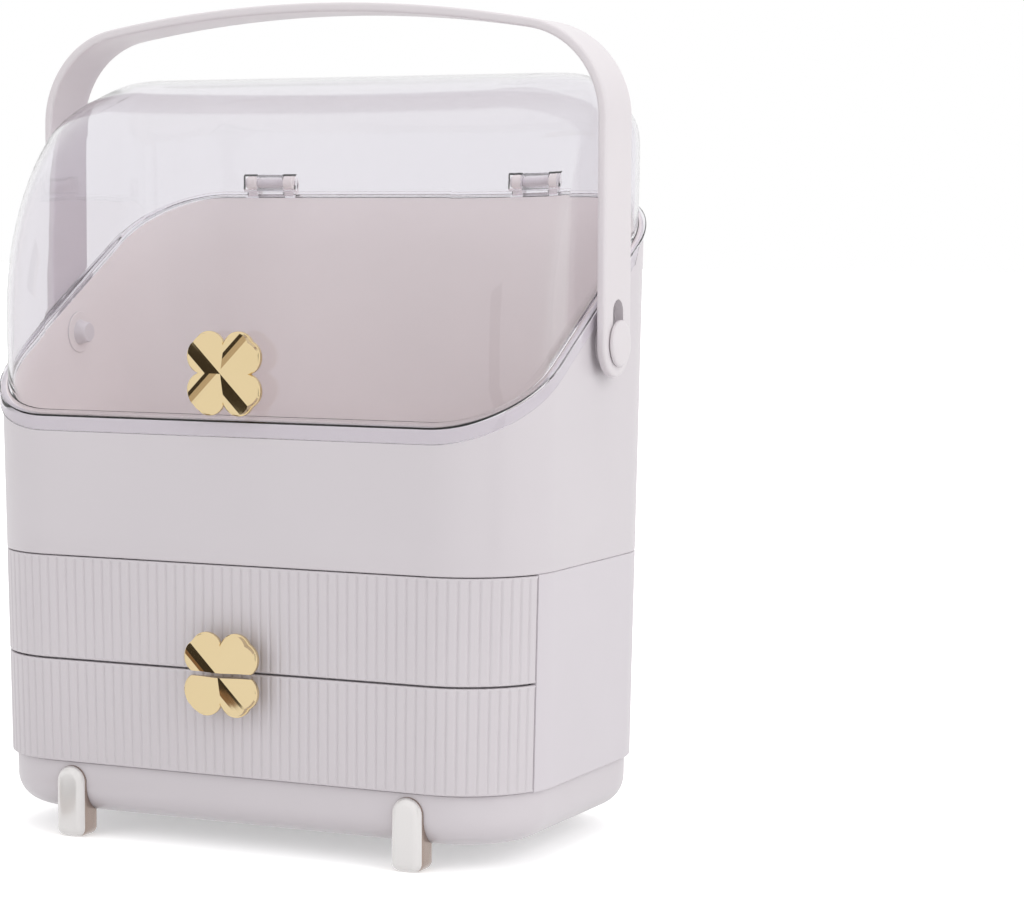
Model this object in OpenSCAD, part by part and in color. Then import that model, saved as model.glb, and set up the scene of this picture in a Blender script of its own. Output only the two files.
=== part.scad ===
// Dustproof makeup organizer.
// A vanity case with two ribbed drawers, an upper compartment with a slanted rim,
// a clear domed lid hinged at the back, clover-shaped knobs and a carrying handle.
// The front faces -Y, the table is z = 0, all sizes are in millimetres.

/* [Case] */
// Width of the case at the seam between the drawers and the upper case
body_w = 265; // [260:1:270]
// Depth of the case at the same seam
body_d = 159.5; // [156:0.5:164]
// Radius of the four upright corners, seen from above
corner_r = 40; // [38:1:42]
// Outward lean of every wall, in degrees
draft_deg = 0.85; // [0.7:0.05:1]
// Thickness of the moulded case walls
wall = 2.6; // [2.4:0.1:3]
// Height of the slanted rim above the seam, at the front
rim_front_h = 60; // [57:1:63]
// Slope of the rim from the front up to the back, in degrees
rim_deg = 31.4; // [30.6:0.2:32]

/* [Base and feet] */
// Height of the base above the table
base_lift = 10.4; // [9:0.2:12]
// Height of the base
base_h = 22.5; // [20:0.5:24]
// How far the base wall sits inside the case wall
base_inset = 2.3; // [1.5:0.1:3]
// Radius of the rounded bottom edge of the base
base_round = 12.5; // [11:0.5:13.5]
// Width of a foot
foot_w = 14.5; // [13:0.5:16]
// Height of a foot
foot_h = 31.5; // [30:0.5:32.5]
// How far a foot stands out from the wall of the base
foot_proud = 3.6; // [3:0.1:4.5]
// Depth of a foot from its front to its back
foot_depth = 12; // [11:0.5:14]
// Distance of the middle of a foot from the side of the case
foot_in = 50; // [46.5:0.5:54.5]

/* [Drawers] */
// Height of each drawer opening
drawer_h = 45.7; // [44:0.1:47]
// Thickness of a ribbed drawer front
front_t = 3; // [2.6:0.1:3.4]
// How far the drawer fronts reach back round the front corners
front_wrap = 27.75; // [23.75:0.5:31.75]
// Number of ribs across the flat part of a drawer front
ribs_flat = 40; // [36:2:44]
// Number of ribs round each corner of a drawer front
ribs_arc = 11; // [9:1:12]
// Depth of the grooves between the ribs
rib_depth = 0.8; // [0.5:0.1:1]
// Thickness of the drawer tray walls
tray_wall = 2; // [1.8:0.1:2.4]
// Height of a drawer tray
tray_h = 37.5; // [34:0.5:38]

/* [Lid] */
// Thickness of the clear lid
lid_t = 1.8; // [1.6:0.1:2.2]
// Height of the top of the lid above the seam
lid_top_h = 211; // [208:1:212]
// How far the lid wall sits inside the case wall
lid_inset = 2.5; // [2.3:0.1:2.7]
// Radius of the big curve from the front of the lid to its top
lid_front_r = 112; // [108:1:114]
// Radius of the curve from the sides of the lid to its top
lid_side_r = 28; // [26:1:32]
// Radius of the curve from the back of the lid to its top
lid_back_r = 36; // [34:1:38]
// How far the skirt of the lid hangs down over the case
lip_h = 5.8; // [5:0.1:6.4]
// How far the skirt stands out from the case wall
lip_proud = 1.4; // [1.3:0.05:1.5]

/* [Lid hinges] */
// Distance of the hinge axis behind the back of the case at the seam
hinge_back = 1.25; // [0.85:0.1:1.65]
// Height of the hinge axis above the slanted rim plane
hinge_rise = 5.257; // [4.657:0.2:6.657]
// Distance of the middle of each hinge from the side of the case
hinge_in = 62.5; // [56.5:1:72.5]
// Outer radius of the hinge knuckles
knuckle_r = 4; // [3.6:0.1:4.2]
// Length of the knuckle moulded on the lid
knuckle_l = 14; // [12:0.5:16]
// Radius of a hinge pin
hinge_pin_r = 1.5; // [1.4:0.1:1.7]

/* [Handle] */
// Gap between each leg of the handle and the side of the case at the seam
handle_gap = 4.3; // [4.2:0.1:5]
// Thickness of the strap
strap_t = 4; // [3.6:0.1:4.2]
// Width of the strap
strap_w = 29; // [27:0.5:30]
// Height of the top of the handle above the top of the lid
handle_rise = 30.5; // [30:0.5:34]
// Radius of the crowned top of the handle
handle_crown_r = 600; // [580:10:640]
// Radius of the two upper corners of the handle
handle_corner_r = 43; // [40:1:43]
// Height of the handle pivots above the seam
pivot_h = 94; // [92:0.5:96]
// Distance of the handle pivots behind the middle of the case
pivot_y = 6.5; // [5.5:0.5:7.5]
// Radius of the round head of a handle pin
pin_head_r = 10; // [9:0.5:11]
// Radius of the shank of a handle pin
pin_shank_r = 4.9; // [4.6:0.1:5]
// Distance from the pin to the upper end of the slot in a leg
slot_rise = 18.8; // [17:0.2:20]

/* [Knobs] */
// Radius of the circles that round the leaves of a clover knob
leaf_r = 7.5; // [7:0.1:8]
// Distance of a leaf circle from the middle, along its longer direction
leaf_far = 10.4; // [10:0.1:10.8]
// Distance of a leaf circle from the middle, along its shorter direction
leaf_near = 7.1; // [6.8:0.1:7.4]
// Thickness of the straight edge of a clover knob
clover_edge = 2; // [1.6:0.1:2.6]
// Length of the stem behind the knob of the lid
lid_stem = 5; // [4:0.5:6]
// Length of the stem behind the knob halves of the drawers
drawer_stem = 7.5; // [6:0.5:9]
// Gap between the two halves of the drawer knob
knob_split = 2; // [1.6:0.1:2.6]
// Height of the middle of the lid knob above the seam
lid_knob_h = 81.4; // [79:0.2:84]

/* [Hidden] */
// Clearance between a moving piece and what it runs in
run_gap = 0.3;
// Clearance of a fixed piece in its seat
seat_gap = 0.15;
// Radial clearance of a pin or screw in its hole
pin_gap = 0.06;
// Gap between neighbouring drawer fronts
front_gap = 0.4;
// Thickness of the floor and top of the cabinet and of the shelf
plate_t = 2.4;
// Distance from the case surface to the front edge of the cabinet plates
plate_back = front_t + 0.8;
// Offset of the drawer trays from the case surface
tray_off = -front_t - run_gap;
// Radius of the small screws and of their heads
screw_r = 1.4;
screw_head_r = 3.4;
screw_head_t = 1.6;
// Radius of a knob stem
stem_r = 3;
// Thickness of the upper case floor
floor_t = 3;
// Distances from the sides, and from the front and back, of the bosses under the upper case
boss_in_x = 37.5;
boss_in_y = 39.75;
boss_r = 4;
// Distance of the inner edge of the lid skirt from the case wall
skirt_gap = 0.35;
// Inset of the lid flange along the back, so that it turns clear of the rim
flange_back = 1.3;
// Thickness of the ears that carry a hinge pin, and their reach below its axis
ear_t = 5;
ear_h = 14;
// Thickness of the lid flange on the rim of the case
flange_t = 1.4;
// Room in the lid for the two ends of a hinge pin, outside the ears
pin_room = 1.6;
// How much narrower the trays are than the fronts, so that they pass the cabinet walls
tray_ease = 2.1;

boss_x = body_w / 2 - boss_in_x;
boss_y = body_d / 2 - boss_in_y;
foot_x = body_w / 2 - foot_in;
hinge_x = body_w / 2 - hinge_in;
hinge_y = body_d / 2 + hinge_back;
front_end = body_d / 2 - front_wrap;
handle_top_h = lid_top_h + handle_rise;

base_top = base_lift + base_h;
mid_z = base_top + drawer_h;
seam_z = mid_z + drawer_h;
lid_top = seam_z + lid_top_h;
pivot_z = seam_z + pivot_h;
rim_front_y = body_d / 2 + 2;
hinge_z = rim_z(hinge_y) + hinge_rise;
leg_in = body_w / 2 + handle_gap;
leg_out = leg_in + strap_t;
slot_r = pin_shank_r + 0.6;
clover_h = clover_edge + 2.6;
front_reach = half_d(mid_z) + drawer_stem + clover_h;
back_reach = hinge_y + knuckle_r;
mid_y = (front_reach - back_reach) / 2;

steps = 9;
half_ring = 2 * (steps + 1);
ring_n = 2 * half_ring + 2;

// Case surface: half width and half depth at a height, both growing with the draft.
function drift(z) = (z - seam_z) * tan(draft_deg);
function half_w(z) = body_w / 2 + drift(z);
function half_d(z) = body_d / 2 + drift(z);
// Height of the slanted rim plane at a depth y.
function rim_z(y) = seam_z + rim_front_h + (y + rim_front_y) * tan(rim_deg);

// One point of a rounded rectangle with half sizes a and b, middle cy and corner r.
function corner_pt(i, a, b, cy, r) =
    let (q = floor(i / (steps + 1)),
        t = 90 * (q + (i % (steps + 1)) / steps),
        sx = (q == 0 || q == 3) ? 1 : -1,
        sy = q < 2 ? 1 : -1)
    [sx * (a - r) + r * cos(t), cy + sy * (b - r) + r * sin(t)];
// The same with one more point on each side, where the skirt of the lid ends.
function ring_pt(i, a, b, cy, r) =
    i == half_ring ? [-a, cy + 0.9 * (b - r)]
    : i == ring_n - 1 ? [a, cy + 0.9 * (b - r)]
    : corner_pt(i < half_ring ? i : i - 1, a, b, cy, r);
// Point of the case wall at a distance off outside its surface, and a level ring of them.
function wall_pt(i, off, z) =
    corner_pt(i, half_w(z) + off, half_d(z) + off, 0, corner_r + off);
function flat_ring(off, z) =
    [for (i = [0 : 2 * half_ring - 1]) let (p = wall_pt(i, off, z)) [p[0], p[1], z]];
// Ring of the wall on the slanted rim plane, raised by dz.
function rim_ring(off, dz) =
    [for (i = [0 : 2 * half_ring - 1])
        let (p = wall_pt(i, off, rim_z(wall_pt(i, off, pivot_z)[1]) + dz))
        [p[0], p[1], rim_z(p[1]) + dz]];
// Point of the lid's edge on the rim plane, raised by dz.
function case_pt(i, off, z) = ring_pt(i, half_w(z) + off, half_d(z) + off, 0, corner_r + off);
function rim_pt(i, off, dz) =
    let (z1 = rim_z(case_pt(i, off, pivot_z)[1]) + dz,
        p = case_pt(i, off, z1))
    [p[0], p[1], rim_z(p[1]) + dz];

// Sunk distance of a rounded top edge with radius r at a height z.
function sunk(z, top, r) =
    let (h = min(r, max(0, z - (top - r)))) r - sqrt(max(0, r * r - h * h));
// Point of the dome of the lid at height z.
function dome_pt(i, off, z, top, less) =
    let (a = half_w(z) + off - sunk(z, top, lid_side_r - less),
        yf = -half_d(z) - off + sunk(z, top, lid_front_r - less),
        yb = half_d(z) + off - sunk(z, top, lid_back_r - less),
        b = (yb - yf) / 2,
        r = min(corner_r + off, 0.97 * b))
    ring_pt(i, a, b, (yf + yb) / 2, r);
// Ring of the dome, v = 0 at the rim and v = 1 at the top.
function dome_ring(v, off, top, less, dz) =
    [for (i = [0 : ring_n - 1])
        let (z0 = rim_pt(i, off, dz)[2],
            z = z0 + (top - z0) * sin(90 * v),
            p = dome_pt(i, off, z, top, less))
        [p[0], p[1], z]];

// Faces of a stack of rings with n points each, closed at both ends.
function loft_faces(n, m) = concat(
    [[for (i = [0 : n - 1]) i]],
    [for (k = [0 : m - 2]) for (i = [0 : n - 1])
        let (j = (i + 1) % n) [k * n + i, k * n + n + i, k * n + j]],
    [for (k = [0 : m - 2]) for (i = [0 : n - 1])
        let (j = (i + 1) % n) [k * n + j, k * n + n + i, k * n + n + j]],
    [[for (i = [n - 1 : -1 : 0]) (m - 1) * n + i]]);

module loft(rings) {
    n = len(rings[0]);
    polyhedron(points = [for (ring = rings) for (p = ring) p],
        faces = loft_faces(n, len(rings)), convexity = 8);
}

// Plain drafted block between two heights at an offset from the case surface.
module block(off, z0, z1) {
    loft([flat_ring(off, z0), flat_ring(off, z1)]);
}

// Everything is drawn with the middle of the case at y = 0 and then moved by mid_y.
module place() {
    translate([0, mid_y, 0]) children();
}

module y_cylinder(r, y0, y1, sides = 48) {
    translate([0, y1, 0]) rotate([90, 0, 0]) cylinder(r = r, h = y1 - y0, $fn = sides);
}

module x_cylinder(r, x0, x1, sides = 48) {
    translate([x0, 0, 0]) rotate([0, 90, 0]) cylinder(r = r, h = x1 - x0, $fn = sides);
}

// Outer rings of the base, from the bottom up round the bottom edge.
function base_rings() =
    [for (t = [0 : 22.5 : 90])
        flat_ring(-base_inset - base_round * (1 - sin(t)),
            base_lift + base_round * (1 - cos(t)))];

function base_wall_y(z) = half_d(z) - base_inset;
foot_screw_z = base_lift + base_h - 6.5;

module base_plinth() {
    color([0.88, 0.87, 0.88]) place() difference() {
        loft(concat(base_rings(),
            [flat_ring(-base_inset, base_top)],
            [flat_ring(-base_inset - wall, base_top)],
            [for (t = [90 : -30 : 0])
                flat_ring(-base_inset - wall - (base_round - wall) * (1 - sin(t)),
                    base_lift + wall + (base_round - wall) * (1 - cos(t)))]));
        for (sx = [-1, 1], sy = [-1, 1])
            translate([sx * foot_x, sy * base_wall_y(foot_screw_z), foot_screw_z])
                y_cylinder(screw_r + pin_gap, -wall - 1, wall + 1, 24);
    }
}

// Outline of a foot: round top, small rounded bottom corners.
module foot_outline() {
    r = foot_w / 2;
    e = 4;
    translate([0, foot_h - r]) circle(r = r, $fn = 64);
    translate([-r, e]) square([foot_w, foot_h - r - e]);
    translate([-r + e, 0]) square([foot_w - 2 * e, e + 0.1]);
    for (s = [-1, 1]) translate([s * (r - e), e]) circle(r = e, $fn = 32);
}

// The base as a foot meets it: the round of its bottom edge and its leaning wall.
module base_edge() {
    z = base_lift + base_round;
    translate([0, base_wall_y(z) - base_round, z])
        x_cylinder(base_round + seat_gap, -foot_w, foot_w, 96);
    translate([-foot_w, base_wall_y(z) + seat_gap, z]) rotate([-draft_deg, 0, 0])
        translate([0, -foot_w, 0]) cube([2 * foot_w, foot_w, 2 * foot_h]);
}

// A back foot on the line x = 0; the front feet are turned half round.
module foot(sx, sy) {
    face = base_wall_y(foot_screw_z) + foot_proud;
    color([0.93, 0.91, 0.88]) place() translate([sx * foot_x, 0, 0])
        rotate([0, 0, sy > 0 ? 0 : 180]) difference() {
            translate([0, face, 0]) rotate([90, 0, 0])
                linear_extrude(height = foot_depth) foot_outline();
            base_edge();
            translate([0, base_wall_y(foot_screw_z), foot_screw_z])
                y_cylinder(screw_r + pin_gap, -foot_proud + 1, foot_proud - 1);
        }
}

module foot_screw(sx, sy) {
    inner = base_wall_y(foot_screw_z) - wall - 0.2;
    tip = base_wall_y(foot_screw_z) + foot_proud - 1.2;
    color([0.7, 0.7, 0.72]) place()
        translate([sx * foot_x, 0, foot_screw_z]) rotate([0, 0, sy > 0 ? 0 : 180]) {
            y_cylinder(screw_head_r, inner - screw_head_t, inner);
            y_cylinder(screw_r, inner - screw_head_t / 2, tip);
        }
}

// Room in front of the plane y = -front_end that a drawer front passes through.
module front_room(z0, z1, cut) {
    difference() {
        translate([-body_w, -body_d - cut, z0]) cube([2 * body_w, body_d, z1 - z0]);
        block(-plate_back, z0 - 1, z1 + 1);
    }
}

module cabinet_shell() {
    z0 = base_top;
    z1 = seam_z;
    cut = front_end - front_gap;
    color([0.87, 0.86, 0.88]) place() difference() {
        block(0, z0, z1);
        block(-wall, z0 + plate_t, mid_z - 1.5 * plate_t);
        block(-wall, mid_z - plate_t / 2, z1 - plate_t);
        block(-wall - 2, mid_z - 2 * plate_t, mid_z);
        front_room(z0 - 1, z1 + 1, cut);
        translate([-body_w, -body_d - cut, z0 + plate_t])
            cube([2 * body_w, body_d, z1 - z0 - 2 * plate_t]);
        for (sx = [-1, 1], sy = [-1, 1]) translate([sx * boss_x, sy * boss_y, z1 - plate_t - 1])
            cylinder(r = boss_r + seat_gap, h = plate_t + 2, $fn = 24);
    }
}

// Outline of the case at the shelf, drawn in by a distance.
module shelf_outline(inset) {
    a = half_w(mid_z - plate_t) - inset;
    b = half_d(mid_z - plate_t) - inset;
    r = corner_r - inset;
    square([2 * a, 2 * (b - r)], center = true);
    square([2 * (a - r), 2 * b], center = true);
    for (sx = [-1, 1], sy = [-1, 1]) translate([sx * (a - r), sy * (b - r)])
        circle(r = r, $fn = 96);
}

// The shelf is drawn in at the front, where the drawer fronts close over it.
module cabinet_shelf() {
    color([0.87, 0.86, 0.88]) place() translate([0, 0, mid_z - plate_t / 2])
        linear_extrude(height = plate_t) {
            shelf_outline(plate_back);
            difference() {
                shelf_outline(wall + seat_gap);
                translate([-body_w, -body_d - front_end + 2]) square([2 * body_w, body_d]);
            }
        }
}

module hinge_ears(s) {
    inner = knuckle_l / 2 + run_gap;
    for (t = [-1, 1]) {
        x0 = s * hinge_x + t * (inner + ear_t / 2) - ear_t / 2;
        translate([0, hinge_y, hinge_z]) x_cylinder(knuckle_r, x0, x0 + ear_t, 32);
        translate([x0, hinge_y - 1.2, hinge_z - ear_h]) cube([ear_t, knuckle_r + 1.2, ear_h]);
    }
}

module upper_case() {
    color([0.88, 0.87, 0.89]) place() difference() {
        union() {
            loft([flat_ring(-0.8, seam_z), flat_ring(0, seam_z + 0.8),
                rim_ring(0, -run_gap), rim_ring(-wall, -run_gap),
                flat_ring(-wall, seam_z + floor_t)]);
            for (s = [-1, 1]) {
                hinge_ears(s);
                translate([0, pivot_y, pivot_z]) x_cylinder(9,
                    s > 0 ? half_w(pivot_z) - wall / 2 : -leg_in + run_gap,
                    s > 0 ? leg_in - run_gap : -half_w(pivot_z) + wall / 2, 36);
            }
            for (sx = [-1, 1], sy = [-1, 1])
                translate([sx * boss_x, sy * boss_y, seam_z - plate_t])
                    cylinder(r = boss_r, h = plate_t + 1, $fn = 24);
        }
        translate([0, pivot_y, pivot_z])
            x_cylinder(pin_shank_r + 0.1, -body_w, body_w, 24);
        for (s = [-1, 1]) translate([0, hinge_y, hinge_z])
            x_cylinder(hinge_pin_r + pin_gap, s * hinge_x - 15, s * hinge_x + 15, 24);
        for (sx = [-1, 1], sy = [-1, 1])
            translate([sx * boss_x, sy * boss_y, seam_z - plate_t - 1])
                cylinder(r = screw_r + pin_gap, h = plate_t + floor_t, $fn = 24);
    }
}

module case_screw(sx, sy) {
    color([0.7, 0.7, 0.72]) place()
        translate([sx * boss_x, sy * boss_y, seam_z - plate_t - screw_head_t]) {
            cylinder(r = 6, h = screw_head_t, $fn = 48);
            cylinder(r = screw_r, h = screw_head_t + plate_t + floor_t - 1.2, $fn = 48);
        }
}

// Outward offset of the lid flange: full on the front and sides, drawn in at the back.
function back_ease(i) =
    i < half_ring ? let (k = i % (steps + 1), q = floor(i / (steps + 1)),
        t = q == 0 ? k / steps : 1 - k / steps) pow(sin(90 * t), 2)
    : 0;
function flange_off(i, full) = full + (-flange_back - full) * back_ease(i);
function skirt_drop(i) = i < half_ring ? 0 : lip_h;
function flange_ring(full, low) =
    [for (i = [0 : ring_n - 1])
        let (off = flange_off(i, full), dz = low ? -skirt_drop(i) : flange_t,
            p = rim_pt(i, off, dz))
        p];
function skirt_in_ring(low) =
    [for (i = [0 : ring_n - 1])
        let (off = i < half_ring ? flange_off(i, lip_proud) - (low ? 0.5 : 0.9) : skirt_gap,
            p = rim_pt(i, off, low ? -skirt_drop(i) : 0))
        p];

module lid() {
    less = lid_t;
    color([0.93, 0.92, 0.96, 0.35]) place() difference() {
        union() {
            loft(concat(
                [for (v = [1 : -1 / 10 : 0.01])
                    dome_ring(v, -lid_inset - lid_t, lid_top - lid_t, less, 0)],
                [dome_ring(0, -lid_inset - lid_t, lid_top - lid_t, less, 0)],
                [skirt_in_ring(false)],
                [skirt_in_ring(true)],
                [flange_ring(lip_proud, true)],
                [flange_ring(lip_proud, false)],
                [dome_ring(0, -lid_inset, lid_top, 0, flange_t)],
                [for (v = [1 / 10 : 1 / 10 : 1.001])
                    dome_ring(v, -lid_inset, lid_top, 0, flange_t)]));
            for (s = [-1, 1]) translate([0, hinge_y, hinge_z])
                x_cylinder(knuckle_r, s * hinge_x - knuckle_l / 2,
                    s * hinge_x + knuckle_l / 2, 32);
        }
        for (s = [-1, 1]) {
            translate([0, hinge_y, hinge_z])
                x_cylinder(hinge_pin_r + pin_gap, s * hinge_x - 15, s * hinge_x + 15, 24);
            for (t = [-1, 1]) {
                x0 = s * hinge_x + t * (knuckle_l / 2 + run_gap + ear_t / 2) - ear_t / 2;
                translate([0, hinge_y, hinge_z])
                    x_cylinder(knuckle_r + 0.4, x0 - run_gap - (t < 0 ? pin_room : 0),
                        x0 + ear_t + run_gap + (t > 0 ? pin_room : 0), 32);
                translate([x0 - run_gap, hinge_y - 1.6, hinge_z - ear_h])
                    cube([ear_t + 2 * run_gap, 2 * knuckle_r + 2, ear_h]);
            }
        }
        translate([0, -half_d(seam_z + lid_knob_h), seam_z + lid_knob_h])
            y_cylinder(screw_r + pin_gap, -lid_t - 1.2, lid_inset + lid_t + 3.7, 24);
    }
}

module hinge_pin(s) {
    reach = knuckle_l / 2 + run_gap + ear_t;
    color([0.75, 0.75, 0.78]) place() translate([s * hinge_x, hinge_y, hinge_z]) {
        x_cylinder(hinge_pin_r, -reach - 0.1, reach + 0.8);
        x_cylinder(2.6, -reach - 1.3, -reach - 0.1);
    }
}

// Distance from the middle to the edge of the clover outline in direction c.
function leaf_reach(px, py, ca, sa) =
    let (d = px * ca + py * sa, e = px * sa - py * ca, g = leaf_r * leaf_r - e * e)
    g < 0 ? 0 : d + sqrt(g);
function clover_reach(c) =
    let (ca = abs(cos(c)), sa = abs(sin(c)))
    max(leaf_reach(leaf_far, leaf_near, ca, sa), leaf_reach(leaf_near, leaf_far, ca, sa));
// Height of the cut face: a ridge along each diagonal and a valley between the leaves.
function face_h(x, y) = clover_h - 0.43 * min(6, abs(abs(x) - abs(y)) / sqrt(2));
// Ring of the clover, level at the height low or, with low below 0, on the cut face.
function clover_ring(scale_by, low) =
    [for (k = [0 : 71])
        let (c = 5 * k, r = scale_by * clover_reach(c), x = r * cos(c), y = r * sin(c))
        [x, y, low < 0 ? face_h(x, y) : low]];

// Upper half of such a ring, closed along a straight line at the height cut.
function half_ring_pts(scale_by, low, cut) =
    let (corner = leaf_far + sqrt(leaf_r * leaf_r - pow(leaf_near - cut, 2)))
    [for (k = [0 : 36])
        let (c = 5 * k, r = clover_reach(c), end = k == 0 || k == 36,
            x = scale_by * (end ? corner * cos(c) : r * cos(c)),
            y = cut + scale_by * (end ? 0 : r * sin(c) - cut))
        [x, y, low < 0 ? face_h(x, y) : low]];

module half_clover(cut) {
    loft([half_ring_pts(0.96, 0, cut), half_ring_pts(1, 0.5, cut),
        half_ring_pts(1, clover_edge, cut), half_ring_pts(0.93, -1, cut),
        half_ring_pts(0.5, -1, cut), half_ring_pts(0.06, clover_h, cut)]);
}

module clover() {
    loft([clover_ring(0.96, 0), clover_ring(1, 0.5), clover_ring(1, clover_edge),
        clover_ring(0.93, -1), clover_ring(0.5, -1), clover_ring(0.06, clover_h)]);
}

module lid_knob() {
    z = seam_z + lid_knob_h;
    face = half_d(z) - lid_inset + 0.1;
    color([0.86, 0.74, 0.5]) place() translate([0, -face, z]) rotate([90, 0, 0]) difference() {
        union() {
            translate([0, 0, lid_stem - 0.01]) clover();
            cylinder(r = stem_r, h = lid_stem + 1, $fn = 48);
        }
        translate([0, 0, -1]) cylinder(r = screw_r + pin_gap, h = lid_stem + 2, $fn = 48);
    }
}

module lid_knob_screw() {
    z = seam_z + lid_knob_h;
    inner = half_d(z) - lid_inset - lid_t - 0.1;
    color([0.7, 0.7, 0.72]) place() translate([0, 0, z]) {
        y_cylinder(screw_head_r, -inner, -inner + screw_head_t);
        y_cylinder(screw_r, -inner - lid_t - lid_stem, -inner + screw_head_t / 2);
    }
}

// Steps round a corner and across the flat of a drawer front, three for each rib.
arc_steps = 3 * ribs_arc;
flat_steps = 3 * ribs_flat;
// Angle at which a surface with corner radius r ends at the plane y = -front_end.
function end_angle(z, r) = acos((front_end - (half_d(z) - corner_r)) / r);
// Depth of the ribbed surface at step k: a narrow groove on every third step.
function groove(k) = k % 3 == 0 ? rib_depth : 0;
// Point at step k, from the left end round to the right end, at an offset from the case.
function front_pt(k, off, z, deep) =
    let (m = arc_steps, f = flat_steps, w = half_w(z) - corner_r, d = half_d(z) - corner_r,
        te = end_angle(z, corner_r + off), r = corner_r + off - deep)
    k < m ? [-w - r * sin(te * (1 - k / m)), -d - r * cos(te * (1 - k / m)), z]
    : k > m + f ? [w + r * sin(te * (k - m - f) / m), -d - r * cos(te * (k - m - f) / m), z]
    : [w * (2 * (k - m) / f - 1), -d - r, z];
// Upright section of a drawer front at step k, with softened outer edges.
function front_section(k, z0, z1) = let (deep = groove(k))
    [front_pt(k, -0.5, z0, deep), front_pt(k, -front_t, z0, 0),
        front_pt(k, -front_t, z1, 0), front_pt(k, -0.5, z1, deep),
        front_pt(k, 0, z1 - 0.5, deep), front_pt(k, 0, z0 + 0.5, deep)];

// z0 and z1 are the lower and upper edges, knob_z is the height of the knob stem.
module drawer_front(z0, z1, knob_z) {
    color([0.8, 0.78, 0.81]) place() difference() {
        loft([for (k = [0 : 2 * arc_steps + flat_steps]) front_section(k, z0, z1)]);
        translate([0, -half_d(mid_z), knob_z]) y_cylinder(stem_r + seat_gap, -5, 8);
    }
}

// Level ring of a tray, drawn in by a distance.
function tray_ring(inset, z) =
    [for (i = [0 : 2 * half_ring - 1])
        let (off = tray_off - inset,
            p = corner_pt(i, half_w(z) + off - tray_ease, half_d(z) + off, 0, corner_r + off))
        [p[0], p[1], z]];

module drawer_tray(z0, knob_z) {
    color([0.85, 0.84, 0.86]) place() difference() {
        loft([tray_ring(0.8, z0), tray_ring(0, z0 + 0.8), tray_ring(0, z0 + tray_h),
            tray_ring(tray_wall, z0 + tray_h), tray_ring(tray_wall, z0 + tray_wall)]);
        translate([0, -half_d(mid_z), knob_z]) y_cylinder(screw_r + pin_gap, 0, 9);
    }
}

upper_stem_z = mid_z + 8.5;
lower_stem_z = mid_z - 8.5;

// side = 1 is the upper half on the upper drawer, side = -1 the lower half.
module knob_half(side, stem_z) {
    face = half_d(mid_z) + drawer_stem;
    seat = half_d(mid_z) + tray_off + 0.2;
    color([0.86, 0.74, 0.5]) place() difference() {
        union() {
            translate([0, -face, mid_z]) rotate([90, 0, 0])
                mirror([0, side > 0 ? 0 : 1, 0]) half_clover(knob_split / 2);
            translate([0, 0, stem_z]) y_cylinder(stem_r, -face - 1, -seat);
        }
        translate([0, 0, stem_z]) y_cylinder(screw_r + pin_gap, -face - 0.5, -seat + 1);
    }
}

module knob_screw(stem_z) {
    inner = half_d(stem_z) + tray_off - tray_wall - 0.15;
    color([0.7, 0.7, 0.72]) place() translate([0, 0, stem_z]) {
        y_cylinder(screw_head_r, -inner, -inner + screw_head_t);
        y_cylinder(screw_r, -inner - tray_wall - front_t - 4, -inner + screw_head_t / 2);
    }
}

// Side view of the strap: two straight legs, two round corners and a crowned top.
function strap_line(r_corner, r_crown, k, corner_z, crown_z, phi) = concat(
    [for (t = [0 : phi / 14 : phi + 0.01])
        [k + r_corner * cos(t), corner_z + r_corner * sin(t)]],
    [for (t = [phi + 1 : (90 - phi - 1) / 10 : 90.01])
        [r_crown * cos(t), crown_z + r_crown * sin(t)]]);
function mirrored(line) = [for (i = [len(line) - 2 : -1 : 0]) [-line[i][0], line[i][1]]];

module strap_profile() {
    k = leg_out - handle_corner_r;
    crown_z = seam_z + handle_top_h - handle_crown_r;
    corner_z = crown_z + sqrt(pow(handle_crown_r - handle_corner_r, 2) - k * k);
    phi = atan2(corner_z - crown_z, k);
    outer = strap_line(handle_corner_r, handle_crown_r, k, corner_z, crown_z, phi);
    inner = strap_line(handle_corner_r - strap_t, handle_crown_r - strap_t, k,
        corner_z, crown_z, phi);
    arch = concat(outer, mirrored(outer));
    hollow = concat(inner, mirrored(inner));
    polygon(concat([[leg_out, pivot_z]], arch, [[-leg_out, pivot_z], [-leg_in, pivot_z]],
        [for (i = [len(hollow) - 1 : -1 : 0]) hollow[i]], [[leg_in, pivot_z]]));
}

module handle() {
    color([0.9, 0.87, 0.84]) place() translate([0, pivot_y, 0]) difference() {
        union() {
            translate([0, strap_w / 2, 0]) rotate([90, 0, 0])
                linear_extrude(height = strap_w) strap_profile();
            for (s = [-1, 1]) translate([s > 0 ? leg_in : -leg_out, 0, pivot_z])
                rotate([0, 90, 0]) cylinder(r = strap_w / 2, h = strap_t, $fn = 96);
        }
        for (s = [-1, 1]) {
            x0 = s > 0 ? leg_in - 1 : -leg_out - 1;
            translate([0, 0, pivot_z]) x_cylinder(slot_r, x0, x0 + strap_t + 2);
            translate([0, 0, pivot_z + slot_rise - slot_r])
                x_cylinder(slot_r, x0, x0 + strap_t + 2);
            translate([x0, -slot_r, pivot_z])
                cube([strap_t + 2, 2 * slot_r, slot_rise - slot_r]);
        }
    }
}

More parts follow.
